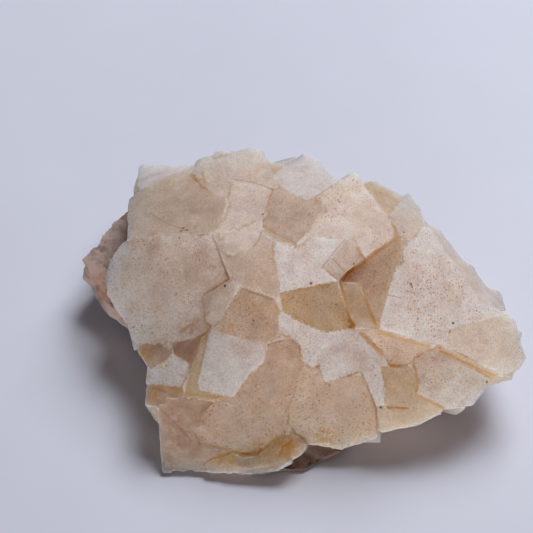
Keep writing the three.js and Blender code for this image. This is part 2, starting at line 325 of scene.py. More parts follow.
class CrystalSettings(bpy.types.PropertyGroup):
    """Sizes and colours of the crystals."""

    grain: FloatProperty(
        name="Grain", description="Cell size of the detailed surface", default=0.0004, unit="LENGTH"
    )
    faces: IntProperty(name="Faces", description="Most triangles kept", default=195000)
    edge_wear: FloatProperty(
        name="Edge wear", description="How much the edges are rubbed down", default=0.3, subtype="FACTOR"
    )
    chip: FloatProperty(
        name="Chips", description="Depth of the chips along the edges", default=0.0007, unit="LENGTH"
    )
    growth_step: FloatProperty(
        name="Growth step", description="Height of a growth step on a face", default=0.00006, unit="LENGTH"
    )
    swell: FloatProperty(
        name="Swell", description="Height of the broad waves on a face", default=0.00012, unit="LENGTH"
    )
    # the frosted colour also serves as the painted sheen of level faces
    frosted_and_sheen: FloatVectorProperty(
        name="Frosted", description="Colour of frosted faces", default=(0.94, 0.80, 0.775), subtype="COLOR"
    )
    tan: FloatVectorProperty(
        name="Tan", description="Colour of the clearer faces", default=(0.735, 0.545, 0.42), subtype="COLOR"
    )
    # the honey colour also serves as painted shade on steep faces
    honey_and_shade: FloatVectorProperty(
        name="Honey", description="Colour of the honey faces", default=(0.62, 0.42, 0.22), subtype="COLOR"
    )
    # the amber colour also serves as painted shade in the crevices
    amber_and_shade: FloatVectorProperty(
        name="Amber", description="Colour in the crevices", default=(0.62, 0.34, 0.09), subtype="COLOR"
    )
    brown: FloatVectorProperty(
        name="Brown", description="Colour of the brown patches", default=(0.36, 0.19, 0.13), subtype="COLOR"
    )
    rust: FloatVectorProperty(
        name="Rust", description="Colour of cracks and stains", default=(0.52, 0.22, 0.04), subtype="COLOR"
    )


class RockSettings(bpy.types.PropertyGroup):
    """Sizes and colours of the host rock."""

    grain: FloatProperty(
        name="Grain", description="Cell size of the detailed surface", default=0.0006, unit="LENGTH"
    )
    faces: IntProperty(name="Faces", description="Most triangles kept", default=120000)
    roughness: FloatProperty(
        name="Rock relief", description="Height of the rock's rough relief", default=0.0009, unit="LENGTH"
    )
    pale: FloatVectorProperty(
        name="Pale", description="Colour of the pinkish rock", default=(0.46, 0.34, 0.31), subtype="COLOR"
    )
    dark: FloatVectorProperty(
        name="Dark", description="Colour of the brown rock", default=(0.10, 0.06, 0.045), subtype="COLOR"
    )
    rust: FloatVectorProperty(
        name="Rust", description="Colour of the rusty spots", default=(0.42, 0.15, 0.04), subtype="COLOR"
    )


class StageSettings(bpy.types.PropertyGroup):
    """The table, the light and the camera."""

    table: FloatVectorProperty(
        name="Table", description="Colour of the table", default=(0.76, 0.79, 0.935), subtype="COLOR"
    )
    window_power: FloatProperty(name="Window", description="Watts of the window light", default=11.3)
    fill_power: FloatProperty(name="Fill", description="Watts of the fill light", default=6.9)
    sky: FloatProperty(name="Sky", description="Strength of the even light from all round", default=0.03)


# ---------- shape tools ----------


def bare_mesh(name):
    """The welded mesh of a CAD node as a bmesh."""
    bm = bmesh.new()
    bm.from_mesh(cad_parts[name].data)
    bmesh.ops.remove_doubles(bm, verts=bm.verts, dist=WELD)
    return bm


def add_object(name, mesh):
    obj = bpy.data.objects.new(name, mesh)
    bpy.context.scene.collection.objects.link(obj)
    return obj


def evaluated_mesh(obj):
    """The object's mesh with its modifiers applied."""
    graph = bpy.context.evaluated_depsgraph_get()
    return bpy.data.meshes.new_from_object(obj.evaluated_get(graph), depsgraph=graph)


def fine_mesh(bm, cell):
    """The closed surface of a bmesh, made again from small even cells."""
    mesh = bpy.data.meshes.new("coarse")
    bm.to_mesh(mesh)
    obj = add_object("coarse", mesh)
    remesh = obj.modifiers.new("cells", "REMESH")
    remesh.mode = "VOXEL"
    remesh.voxel_size = cell
    fine = evaluated_mesh(obj)
    bpy.data.objects.remove(obj)
    return fine


def thinned(mesh, most):
    """The mesh with at most that many triangles, thinned most where it is flat."""
    triangles = sum(len(p.vertices) - 2 for p in mesh.polygons)
    if triangles <= most:
        return mesh
    obj = add_object("thick", mesh)
    thin = obj.modifiers.new("thin", "DECIMATE")
    thin.ratio = most / triangles
    result = evaluated_mesh(obj)
    bpy.data.objects.remove(obj)
    return result


def vectors_of(parts, name):
    """A vector of each of a mesh's parts, such as its vertices' places, as rows of an array."""
    flat = np.empty(len(parts) * 3, np.float32)
    parts.foreach_get(name, flat)
    return flat.reshape(-1, 3).astype(float)


def tree_of(mesh):
    return BVHTree.FromPolygons([v.co for v in mesh.vertices], [p.vertices for p in mesh.polygons])


def pairs_of(mesh):
    flat = np.empty(len(mesh.edges) * 2, np.int32)
    mesh.edges.foreach_get("vertices", flat)
    return flat.reshape(-1, 2)


def put_points(mesh, points):
    mesh.vertices.foreach_set("co", points.astype(np.float32).ravel())
    mesh.update()


def put_numbers(mesh, domain, name, values):
    """Lets a mesh carry a number at each point or face."""
    mesh.attributes.new(name, "FLOAT", domain).data.foreach_set("value", values.astype(np.float32))


def relaxed(points, pairs, rounds):
    """The points after so many rounds of moving half way to the middle of their neighbours."""
    a, b = pairs.T
    count = len(points)
    share = (np.bincount(a, minlength=count) + np.bincount(b, minlength=count)).clip(1)[:, None]
    for _ in range(rounds):
        sums = [
            np.bincount(a, points[b, k], count) + np.bincount(b, points[a, k], count) for k in range(3)
        ]
        points = 0.5 * (points + np.stack(sums, 1) / share)
    return points


def value_noise(points, cell, seed):
    """Smooth noise between -1 and 1 with features about one cell wide."""
    rng = np.random.default_rng(seed)
    order = rng.permutation(NOISE_LEVELS)
    level = rng.uniform(-1, 1, NOISE_LEVELS)
    place = points / cell
    base = np.floor(place).astype(int)
    part = place - base
    part = part * part * (3 - 2 * part)
    total = np.zeros(len(points))
    for dx in (0, 1):
        for dy in (0, 1):
            for dz in (0, 1):
                key = order[(base[:, 0] + dx) % NOISE_LEVELS]
                key = order[(key + base[:, 1] + dy) % NOISE_LEVELS]
                key = order[(key + base[:, 2] + dz) % NOISE_LEVELS]
                near = np.abs(1 - np.array([dx, dy, dz]) - part)
                total += near[:, 0] * near[:, 1] * near[:, 2] * level[key]
    return total


def layered_noise(points, cell, seed, layers=3):
    """Noise with finer and weaker layers added, between about -1 and 1."""
    total = np.zeros(len(points))
    for layer in range(layers):
        total += value_noise(points, cell / 2**layer, seed + layer) / 2**layer
    return total / 1.5


def step_between(low, high, values):
    """0 below low, 1 above high and a smooth step between them."""
    t = np.clip((values - low) / (high - low), 0, 1)
    return t * t * (3 - 2 * t)


# ---------- the camera's frame ----------


def sight_lines(pixels):
    """The directions in which the camera sees pixels of its frame, each one unit deep."""
    half = FRAME_PIXELS / 2
    reach = SENSOR / LENS / FRAME_PIXELS
    across = (pixels[:, 0] - half) * reach
    up = (half - pixels[:, 1]) * reach
    return np.stack([across, up, -np.ones(len(pixels))], 1) @ camera_axes()


def camera_axes():
    return np.array(Euler((CAMERA_TILT, 0, 0)).to_matrix()).T


def pixels_of(points):
    """Where in its frame the camera sees points."""
    local = (points - np.array(CAMERA_PLACE)) @ camera_axes().T
    reach = SENSOR / LENS / FRAME_PIXELS
    half = FRAME_PIXELS / 2
    return np.stack([half - local[:, 0] / local[:, 2] / reach, half + local[:, 1] / local[:, 2] / reach], 1)


def seen_at(tree, x, y):
    """The place that the camera sees at a pixel of its frame."""
    ray = Vector(sight_lines(np.array([[x, y]], float))[0])
    place = tree.ray_cast(Vector(CAMERA_PLACE), ray)[0]
    if place is None:
        raise ValueError(f"nothing is seen at {x}, {y}")
    return place


# ---------- crystals ----------


class CrystalFaces:
    """The flat faces of a faceted solid."""

    def __init__(self, solid):
        bm = solid.copy()
        bmesh.ops.dissolve_limit(bm, angle_limit=PLANE_ANGLE, verts=bm.verts, edges=bm.edges)
        bm.faces.ensure_lookup_table()
        self.tree = BVHTree.FromBMesh(bm)
        self.centre = np.array([f.calc_center_median() for f in bm.faces])
        self.normal = np.array([f.normal for f in bm.faces])
        self.area = np.array([f.calc_area() for f in bm.faces])
        self.along = np.array([self.longest_side(f) for f in bm.faces])
        bm.free()

    @staticmethod
    def longest_side(face):
        side = max(face.edges, key=lambda e: e.calc_length())
        return (side.verts[1].co - side.verts[0].co).normalized()

    def nearest(self, points):
        """For each point, the number of the nearest face and the nearest place on it."""
        number = np.empty(len(points), int)
        place = np.empty((len(points), 3))
        for i, point in enumerate(points):
            spot, _, face, _ = self.tree.find_nearest(Vector(point))
            number[i] = face
            place[i] = spot
        return number, place


class Facets:
    """The facets that the camera sees: planes near those of the CAD crust, each with its own outline.

    A plane is kept as three numbers that give one over its depth at any pixel."""

    def __init__(self, faces):
        self.outlines = [np.array(outline, float) for _, outline in FACETS]
        self.planes = self.fitted(faces)

    def fitted(self, faces):
        """Planes that keep near the CAD faces and that nearly meet at their borders."""
        rows, wanted = [], []

        def ask(weight, pixel, value, *terms):
            row = np.zeros((len(FACETS), 3))
            for facet, sign in terms:
                row[facet] += sign * plane_terms(pixel[None])[0]
            rows.append(weight * row.ravel())
            wanted.append(weight * value)

        for i, outline in enumerate(self.outlines):
            face = main_face(faces.tree, outline)
            level = faces.normal[face] @ (faces.centre[face] - np.array(CAMERA_PLACE))
            spots, beyond = along_outline(outline)
            firm = LOOSE if FACETS[i][0] in BRIDGING else FIRM
            for spot, ray in zip(spots, sight_lines(spots)):
                ask(firm, spot, faces.normal[face] @ ray / level, (i, 1))
            beside = self.which(beyond)
            for spot, j in zip(spots, beside):
                if j >= 0 and j != i:
                    ask(1.0, spot, 0.0, (i, 1), (j, -1))
        found = np.linalg.lstsq(np.array(rows), np.array(wanted), rcond=None)[0]
        return found.reshape(-1, 3)

    def which(self, pixels):
        """The number of the facet at each pixel, or -1."""
        number = np.full(len(pixels), -1)
        for i, outline in enumerate(self.outlines):
            number[(number < 0) & inside(outline, pixels)] = i
        return number

    def depth(self, number, pixels):
        """How deep the facets' planes lie at the pixels."""
        return 1 / np.einsum("ij,ij->i", self.planes[number], plane_terms(pixels))

    def block(self, number, grown, reach):
        """A closed block over a facet's grown outline, in front of its plane if the reach is above 0."""
        outline = grown_outline(wandering_outline(self.outlines[number]), grown)
        rays = sight_lines(outline)
        depth = self.depth(np.full(len(outline), number), outline)
        near = np.array(CAMERA_PLACE) + rays * depth[:, None]
        if reach > 0:
            far = near - rays * reach
        else:
            way = polygon_normal(near)
            far = near - way * np.sign(way @ rays.mean(0)) * reach
            far = far.clip((*CAD_BOX[0][:2], LOWEST), CAD_BOX[1])
        return block_between(near, far)

    def solid(self, crust):
        """The crust built up and cut back to the facets, so that each is seen inside its outline."""
        blocks = [("UNION", self.block(i, SLAB_GROWTH, -SLAB)) for i in range(len(FACETS))]
        blocks += [("DIFFERENCE", self.block(i, AIR_GROWTH, AIR)) for i in range(len(FACETS))]
        blocks += [("DIFFERENCE", broken_block(np.array(outline, float))) for outline in BREAKS]
        return combined(crust, blocks)


def block_between(near, far):
    """A closed block between two rings of corners."""
    bm = bmesh.new()
    count = len(near)
    corners = [bm.verts.new(point) for point in np.concatenate([near, far])]
    bm.faces.new(corners[:count])
    bm.faces.new(corners[:count - 1 : -1])
    for i in range(count):
        j = (i + 1) % count
        bm.faces.new([corners[j], corners[i], corners[count + i], corners[count + j]])
    bmesh.ops.triangulate(bm, faces=bm.faces)
    bmesh.ops.recalc_face_normals(bm, faces=bm.faces)
    return bm


def broken_block(outline):
    """The block that a break takes away, all along the sight lines through its outline."""
    rays = sight_lines(wandering_outline(outline))
    return block_between(*(np.array(CAMERA_PLACE) + rays * depth for depth in BREAK_DEPTHS))


def polygon_normal(points):
    middle = points.mean(0)
    normal = np.cross(points - middle, np.roll(points, -1, 0) - middle).sum(0)
    return normal / np.linalg.norm(normal)


def wandering_outline(outline):
    """The outline with slightly uneven sides; sides that two facets share wander together."""
    points = []
    for start, end in zip(outline, np.roll(outline, -1, 0)):
        pieces = max(1, round(np.linalg.norm(end - start) / SIDE_STEP))
        points += [start + (end - start) * k / pieces for k in range(pieces)]
    points = np.array(points)
    places = np.column_stack([points, np.zeros(len(points))])
    return points + SIDE_WANDER * np.stack([layered_noise(places, SIDE_CELL, s) for s in SIDE_SEEDS], 1)


def outward_ways(outline):
    """The direction square to each side of an outline, pointing out of it."""
    x, y = outline.T
    turn = np.sign((x * np.roll(y, -1) - np.roll(x, -1) * y).sum())
    way = np.roll(outline, -1, 0) - outline
    return turn * np.column_stack([way[:, 1], -way[:, 0]]) / np.linalg.norm(way, axis=1)[:, None]


def grown_outline(outline, grown):
    """The outline with every corner moved out by the given number of pixels."""
    out = outward_ways(outline)
    corner = out + np.roll(out, 1, 0)
    corner /= np.linalg.norm(corner, axis=1).clip(0.5)[:, None]
    return outline + grown * corner


def combined(crust, blocks):
    """A solid after joining blocks to it and cutting blocks from it, one after another."""
    mesh = bpy.data.meshes.new("crust")
    crust.to_mesh(mesh)
    crust.free()
    solid = add_object("crust", mesh)
    helpers = []
    for operation, block in blocks:
        mesh = bpy.data.meshes.new("block")
        block.to_mesh(mesh)
        block.free()
        helpers.append(add_object("block", mesh))
        modifier = solid.modifiers.new("block", "BOOLEAN")
        modifier.operation = operation
        modifier.solver = "MANIFOLD"
        modifier.object = helpers[-1]
    bm = bmesh.new()
    bm.from_mesh(evaluated_mesh(solid))
    for helper in [solid, *helpers]:
        bpy.data.objects.remove(helper)
    return bm


def seen_from_camera(tree, points):
    """Which points the camera sees past the surface in a tree."""
    eye = Vector(CAMERA_PLACE)
    seen = np.zeros(len(points), bool)
    for i, point in enumerate(points):
        way = Vector(point) - eye
        spot = tree.ray_cast(eye, way)[0]
        seen[i] = spot is not None and (spot - eye).length > way.length - SEEN_DEPTH
    return seen


def plane_terms(pixels):
    return np.column_stack([pixels / FRAME_PIXELS, np.ones(len(pixels))])


def main_face(tree, outline):
    """The number of the face in a tree that fills most of an outline."""
    across, down = (np.arange(a, b, BORDER_STEP) for a, b in zip(outline.min(0), outline.max(0)))
    pixels = np.stack(np.meshgrid(across, down), -1).reshape(-1, 2)
    rays = sight_lines(pixels[inside(outline, pixels)])
    hits = [tree.ray_cast(Vector(CAMERA_PLACE), Vector(ray))[2] for ray in rays]
    return np.bincount([face for face in hits if face is not None]).argmax()


def along_outline(outline):
    """Points every few pixels along an outline, and points just outside them."""
    spots, beyond = [], []
    for start, end, out in zip(outline, np.roll(outline, -1, 0), outward_ways(outline)):
        way = end - start
        pieces = max(1, round(np.linalg.norm(way) / BORDER_STEP))
        for k in range(pieces):
            spots.append(start + way * (k + 0.5) / pieces)
            beyond.append(spots[-1] + out * BESIDE)
    return np.array(spots), np.array(beyond)


def inside(outline, pixels):
    """Which pixels lie inside an outline."""
    odd = np.zeros(len(pixels), bool)
    x, y = pixels.T
    for (x0, y0), (x1, y1) in zip(outline, np.roll(outline, -1, 0)):
        if y0 != y1:
            crosses = (y0 > y) != (y1 > y)
            odd ^= crosses & (x < x0 + (x1 - x0) * (y - y0) / (y1 - y0))
    return odd


def growth_plates(points, number, faces, step):
    """Height of the thin plates that crystals grow in, laid along each face's own edges."""
    height = np.zeros(len(points))
    wobble = PLATE_RIM * layered_noise(points, *PLATE_WOBBLE)
    order = np.argsort(number, kind="stable")
    starts = np.searchsorted(number[order], np.arange(len(faces.area) + 1))
    for face in np.nonzero(faces.area > LEAST_PLATED)[0]:
        mine = order[starts[face] : starts[face + 1]]
        if len(mine) < LEAST_POINTS:
            continue
        rng = np.random.default_rng(PLATE_SEED + face)
        along = faces.along[face]
        across = np.cross(faces.normal[face], along)
        local = points[mine] - faces.centre[face]
        u = local @ along + wobble[mine]
        v = local @ across + wobble[mine]
        low = np.array([u.min(), v.min()])
        size = np.array([u.max(), v.max()]) - low
        plates = LEAST_PLATES + int(faces.area[face] / PLATE_AREA)
        for _ in range(min(plates, MOST_PLATES)):
            middle = low + size * rng.uniform(0, 1, 2)
            half = size * rng.uniform(*PLATE_REACH, 2)
            within = np.minimum(half[0] - np.abs(u - middle[0]), half[1] - np.abs(v - middle[1]))
            height[mine] += step * rng.choice(PLATE_HEIGHTS) * step_between(-PLATE_RIM, PLATE_RIM, within)
    return height


def shape_crystals(settings, solid, faces):
    """The crystals' detailed mesh with their growth plates, worn edges and chips."""
    mesh = fine_mesh(solid, settings.grain)
    pairs = pairs_of(mesh)
    number, place = faces.nearest(vectors_of(mesh.vertices, "co"))
    height = growth_plates(place, number, faces, settings.growth_step)
    height += settings.swell * layered_noise(place, *SWELL)
    sharp = place + faces.normal[number] * height[:, None]
    soft = relaxed(sharp, pairs, WEAR_ROUNDS)
    softer = relaxed(soft, pairs, BEND_ROUNDS)
    put_points(mesh, softer)
    outward = vectors_of(mesh.vertices, "normal")
    wear = settings.edge_wear * (WEAR_LEVEL + WEAR_VARIES * layered_noise(sharp, *WEAR))
    worn = sharp + wear.clip(0, 1)[:, None] * (soft - sharp)
    bend = np.einsum("ij,ij->i", softer - sharp, outward) / MM
    where = layered_noise(sharp, *CHIPS) + SMALL_CHIP_SHARE * layered_noise(sharp, *SMALL_CHIPS)
    depth = settings.chip * step_between(*CHIP_NOISE, where) * step_between(*CHIP_BEND, bend)
    worn -= outward * depth[:, None]
    put_points(mesh, worn.clip(np.array(CAD_BOX[0]) - OVERHANG, np.array(CAD_BOX[1]) + OVERHANG))
    # how convex and how concave the surface is, which later guides the painted highlights on edges and the
    # painted shade in crevices
    put_numbers(mesh, "POINT", "rim", -bend)
    put_numbers(mesh, "POINT", "crease", bend)
    return thinned(mesh, settings.faces)


def by_slant(up, rng, slants, steep, added, stray):
    """A number for each face from how level it lies, which strays a little."""
    return steep + added * step_between(*slants, up) + rng.uniform(-stray, stray, len(up))


def paint_crystals(mesh, faces, facets):
    """Gives each face of the mesh its frost with its painted sheen, its honey with its painted shade, its
    specks and its brown.
    """
    middles = vectors_of(mesh.polygons, "center")
    number, _ = faces.nearest(middles)

    # faces that the camera doesn't see: level ones frosted, a painted sheen, steep ones honey coloured, a
    # painted shade
    up = faces.normal[:, 2]
    rng = np.random.default_rng(UNSEEN_SEED)
    frost_and_sheen = by_slant(up, rng, **UNSEEN_FROST_AND_SHEEN)
    honey_and_shade = by_slant(up, rng, **UNSEEN_HONEY_AND_SHADE)
    specks = rng.uniform(*UNSEEN_SPECKS, len(up))
    values = np.stack([frost_and_sheen, honey_and_shade, specks, np.zeros(len(up))], 1)[number].clip(0, 1)

    # faces that it sees
    facet = facets.which(pixels_of(middles))
    facet[~seen_from_camera(tree_of(mesh), middles)] = -1
    finish = np.array([FINISHES[name] for name, _ in FACETS])
    values[facet >= 0] = finish[facet[facet >= 0]]
    for name, column in zip(("frost_and_sheen", "honey_and_shade", "specks", "brown"), values.T):
        put_numbers(mesh, "FACE", name, column)


# ---------- materials ----------


class Graph:
    """Builds a material's nodes in a row, each with its inputs by name or number."""

    def __init__(self, name):
        self.material = bpy.data.materials.new(name)
        self.material.use_nodes = True
        self.tree = self.material.node_tree
        self.tree.nodes.clear()
        self.out = self.add("ShaderNodeOutputMaterial")
        where = self.add("ShaderNodeTexCoord")
        scale = self.add("ShaderNodeVectorMath", operation="SCALE")
        self.join(where.outputs["Object"], scale.inputs[0])
        scale.inputs["Scale"].default_value = 1 / MM
        self.millimetres = scale.outputs[0]
        self.ragged = self.wandering(1.2, 0.5)

    def wandering(self, size, amount):
        """The place in millimetres, moved about by noise, so that marks get ragged rims."""
        inputs = {"Vector": self.millimetres, "Scale": 1 / size, "Detail": 3.0}
        noise = self.add("ShaderNodeTexNoise", inputs).outputs["Color"]
        level = self.add("ShaderNodeVectorMath", {0: noise, 1: (0.5, 0.5, 0.5)}, operation="SUBTRACT")
        shift = self.add("ShaderNodeVectorMath", {0: level.outputs[0], "Scale": amount}, operation="SCALE")
        inputs = {0: self.millimetres, 1: shift.outputs[0]}
        return self.add("ShaderNodeVectorMath", inputs, operation="ADD").outputs[0]

    def add(self, kind, inputs=None, **settings):
        node = self.tree.nodes.new(kind)
        for key, value in settings.items():
            setattr(node, key, value)
        for key, value in (inputs or {}).items():
            self.feed(node.inputs[key], value)
        return node

    def feed(self, socket, value):
        if isinstance(value, bpy.types.NodeSocket):
            self.join(value, socket)
        else:
            socket.default_value = value

    def join(self, a, b):
        self.tree.links.new(a, b)

    def math(self, operation, a, b, clamp=False):
        return self.add("ShaderNodeMath", {0: a, 1: b}, operation=operation, use_clamp=clamp).outputs[0]

    def plus(self, a, b, clamp=False):
        return self.math("ADD", a, b, clamp)

    def times(self, a, b, clamp=False):
        return self.math("MULTIPLY", a, b, clamp)

    def remap(self, value, low, high, to_low=0.0, to_high=1.0):
        inputs = {"Value": value, "From Min": low, "From Max": high, "To Min": to_low, "To Max": to_high}
        return self.add("ShaderNodeMapRange", inputs).outputs[0]

    def noise(self, size, detail=3.0, rough=0.55, distortion=0.0):
        """Noise with features about so many millimetres wide."""
        inputs = {
            "Vector": self.millimetres,
            "Scale": 1 / size,
            "Detail": detail,
            "Roughness": rough,
            "Distortion": distortion,
        }
        return self.add("ShaderNodeTexNoise", inputs).outputs[0]

    def varied(self, size, low, high, **noise):
        """Noise that mostly runs from low to high, with features about so many millimetres wide."""
        return self.remap(self.noise(size, **noise), 0.3, 0.7, low, high)

    def cells(self, size, feature="F1"):
        inputs = {"Vector": self.millimetres, "Scale": 1 / size}
        return self.add("ShaderNodeTexVoronoi", inputs, feature=feature)

    def mix(self, share, a, b, blend="MIX"):
        """Colour a turned into b by that share."""
        node = self.add("ShaderNodeMix", data_type="RGBA", blend_type=blend)
        self.feed(node.inputs[0], share)
        self.feed(node.inputs[6], a)
        self.feed(node.inputs[7], b)
        return node.outputs[2]

    def cover(self, colour, share, strength, mark):
        """The colour turned into the mark's colour by that share, at most by the strength."""
        return self.mix(self.times(share, strength), colour, mark)

    def value(self, name):
        """A number that the mesh carries."""
        return self.add("ShaderNodeAttribute", attribute_name=name).outputs["Fac"]

    def from_point(self, point):
        """How many millimetres it is to a point."""
        inputs = {0: self.ragged, 1: tuple(point / MM)}
        return self.add("ShaderNodeVectorMath", inputs, operation="DISTANCE").outputs["Value"]

    def from_segment(self, start, end):
        """How many millimetres it is to a straight line between two points."""
        way = (end - start) / MM
        inputs = {0: self.ragged, 1: tuple(start / MM)}
        offset = self.add("ShaderNodeVectorMath", inputs, operation="SUBTRACT").outputs[0]
        inputs = {0: offset, 1: tuple(way / way.length_squared)}
        along = self.add("ShaderNodeVectorMath", inputs, operation="DOT_PRODUCT").outputs["Value"]
        share = self.math("MINIMUM", self.math("MAXIMUM", along, 0.0), 1.0)
        foot = self.add("ShaderNodeVectorMath", {0: tuple(way), "Scale": share}, operation="SCALE")
        inputs = {0: offset, 1: foot.outputs[0]}
        return self.add("ShaderNodeVectorMath", inputs, operation="DISTANCE").outputs["Value"]

    def least(self, values):
        """The smallest of the values."""
        total = values[0]
        for value in values[1:]:
            total = self.math("MINIMUM", total, value)
        return total

    def specks(self, size, radius, share):
        """1 in small dots: cells of that size, a dot of that radius in that share of them."""
        cell = self.cells(size)
        parts = self.add("ShaderNodeSeparateColor", {0: cell.outputs["Color"]})
        chosen = self.math("LESS_THAN", parts.outputs[0], share)
        dot = self.remap(cell.outputs["Distance"], radius, radius * 0.5)
        return self.times(chosen, dot)


def rgba(colour):
    return (*colour, 1.0)


def line_shares(g, tree, lines, radius):
    """The share of a set of lines, each drawn through pixels of the camera's frame."""
    distances = []
    for line in lines:
        places = [seen_at(tree, x, y) for x, y in line]
        distances += [g.from_segment(a, b) for a, b in zip(places, places[1:])]
    return g.remap(g.least(distances), radius, radius * 0.4)


def spot_shares(g, tree, spots, radius):
    """The share of a set of round spots at pixels of the camera's frame."""
    return g.remap(g.least([g.from_point(seen_at(tree, x, y)) for x, y in spots]), radius, 0.5 * radius)


def broad_shares(g, tree, patches, full):
    """The share of round patches, each with its reach, that is whole within that part of the reach."""
    parts = []
    for place, reach in patches:
        distance = g.from_point(seen_at(tree, *place))
        parts.append(g.times(distance, 1 / reach))
    return g.remap(g.least(parts), 1.0, full)


def patch_shares(g, tree, patches):
    """The share of broad soft patches at pixels of the camera's frame, broken up by noise."""
    broken = g.remap(g.noise(1.3, 5.0, 0.65), 0.4, 0.54)
    return g.times(broad_shares(g, tree, patches, 0.2), broken)


def fluorite_material(settings, tree):
    g = Graph("cloudy_fluorite")

    # how frosted or honey coloured each face is, with clouds and greyer cores inside; the frost carries a
    # painted sheen and the honey a painted shade
    frost_and_sheen = g.plus(g.value("frost_and_sheen"), g.varied(5.0, -0.3, 0.3, detail=5.0, rough=0.6, distortion=0.4), True)
    colour = g.mix(frost_and_sheen, rgba(settings.tan), rgba(settings.frosted_and_sheen))
    honey_and_shade = g.times(g.value("honey_and_shade"), g.varied(4.0, 0.5, 1.4), True)
    colour = g.mix(honey_and_shade, colour, rgba(settings.honey_and_shade))
    cloud = g.remap(g.noise(2.6, detail=5.0, rough=0.62), 0.25, 0.75, 0.84, 1.14)
    colour = g.mix(1.0, colour, cloud, "MULTIPLY")
    core = g.remap(g.noise(9.0, rough=0.5, distortion=0.5), 0.5, 0.68, 0.0, 0.32)
    core = g.math("MAXIMUM", core, g.times(broad_shares(g, tree, CORES, 0.0), 0.4))
    colour = g.mix(core, colour, CORE_GREY)
    colour = g.mix(1.0, colour, g.varied(0.4, 0.80, 1.16, rough=0.6), "MULTIPLY")
    brown = g.remap(g.noise(3.0, detail=4.0, rough=0.6), 0.3, 0.65, 0.3, 1.1)
    colour = g.mix(g.times(g.value("brown"), brown, True), colour, rgba(settings.brown))

    # amber in the crevices, partly iron staining and partly painted shade, and thin pale or mauve lines on
    # the edges, the pale ones painted highlights
    wander = g.varied(1.1, -0.04, 0.04)
    crease = g.remap(g.plus(g.value("crease"), wander), 0.03, 0.14)
    crease = g.times(crease, g.remap(g.noise(4.5), 0.35, 0.62, 0.15, 1.0))
    colour = g.cover(colour, crease, 0.8, rgba(settings.amber_and_shade))
    rim = g.remap(g.plus(g.value("rim"), wander), 0.06, 0.16)
    kind = g.noise(7.0, detail=2.0)
    # painted highlights: pale lines on the convex edges
    colour = g.cover(colour, g.times(rim, g.remap(kind, 0.56, 0.48)), 0.65, PAINTED_EDGE_HIGHLIGHT)
    colour = g.cover(colour, g.times(rim, g.remap(kind, 0.56, 0.64)), 0.55, MAUVE)

    # specks: many small ones in patches, fewer large ones
    dense = g.times(g.value("specks"), g.remap(g.noise(8.0), 0.38, 0.6, 0.25, 1.2))
    tint = g.mix(g.remap(g.noise(1.6), 0.34, 0.5), DARK_SPECK, ORANGE_SPECK)
    fine = g.times(g.specks(0.5, 0.4, 0.55), dense, True)
    colour = g.cover(colour, fine, 0.75, tint)
    small = g.times(g.specks(0.75, 0.36, 0.5), dense, True)
    colour = g.cover(colour, small, 0.8, tint)
    large = g.times(g.specks(2.1, 0.13, 0.3), g.remap(dense, 0, 1, 0.3, 1))
    colour = g.cover(colour, large, 0.85, BLACK_SPECK)

    # single stains, lines, cracks and spots
    crack = line_shares(g, tree, RUST_CRACKS, 0.4)
    for share, strength, mark in (
        (patch_shares(g, tree, BROWN_STAINS), 0.6, rgba(settings.brown)),
        (line_shares(g, tree, AMBER_LINES, 0.55), 0.6, rgba(settings.amber_and_shade)),
        (line_shares(g, tree, MAUVE_LINES, 0.4), 0.5, MAUVE),
        (patch_shares(g, tree, RUST_STAINS), 0.8, rgba(settings.rust)),
        (crack, 0.92, rgba(settings.rust)),
        (line_shares(g, tree, HAIR_LINES, 0.22), 0.6, HAIR_BROWN),
        (spot_shares(g, tree, DARK_SPOTS, 0.4), 0.9, SPOT_BLACK),
        (spot_shares(g, tree, RED_SPOTS, 0.42), 0.85, SPOT_RED),
    ):
        colour = g.cover(colour, share, strength, mark)

    # a satin surface, finely pitted, over a body that lets light in
    height = g.plus(g.noise(0.4, rough=0.6), g.times(g.noise(2.5), 1.2))
    height = g.plus(height, g.times(small, -0.8))
    height = g.plus(height, g.times(crack, -2.0))
    bump = g.add("ShaderNodeBump", {"Strength": 0.55, "Distance": 0.12 * MM, "Height": height})
    looks = {
        "Base Color": colour,
        "Roughness": g.varied(1.3, 0.34, 0.55, detail=4.0),
        "Normal": bump.outputs[0],
        "IOR": 1.434,
        "Transmission Weight": 0.15,
        "Subsurface Weight": 1.0,
        "Subsurface Radius": (1.0, 0.85, 0.7),
        "Subsurface Scale": 30 * MM,
    }
    g.join(g.add("ShaderNodeBsdfPrincipled", looks).outputs[0], g.out.inputs["Surface"])
    volume = g.add("ShaderNodeVolumeAbsorption", {"Color": THROUGH, "Density": 60.0})
    g.join(volume.outputs[0], g.out.inputs["Volume"])
    return g.material


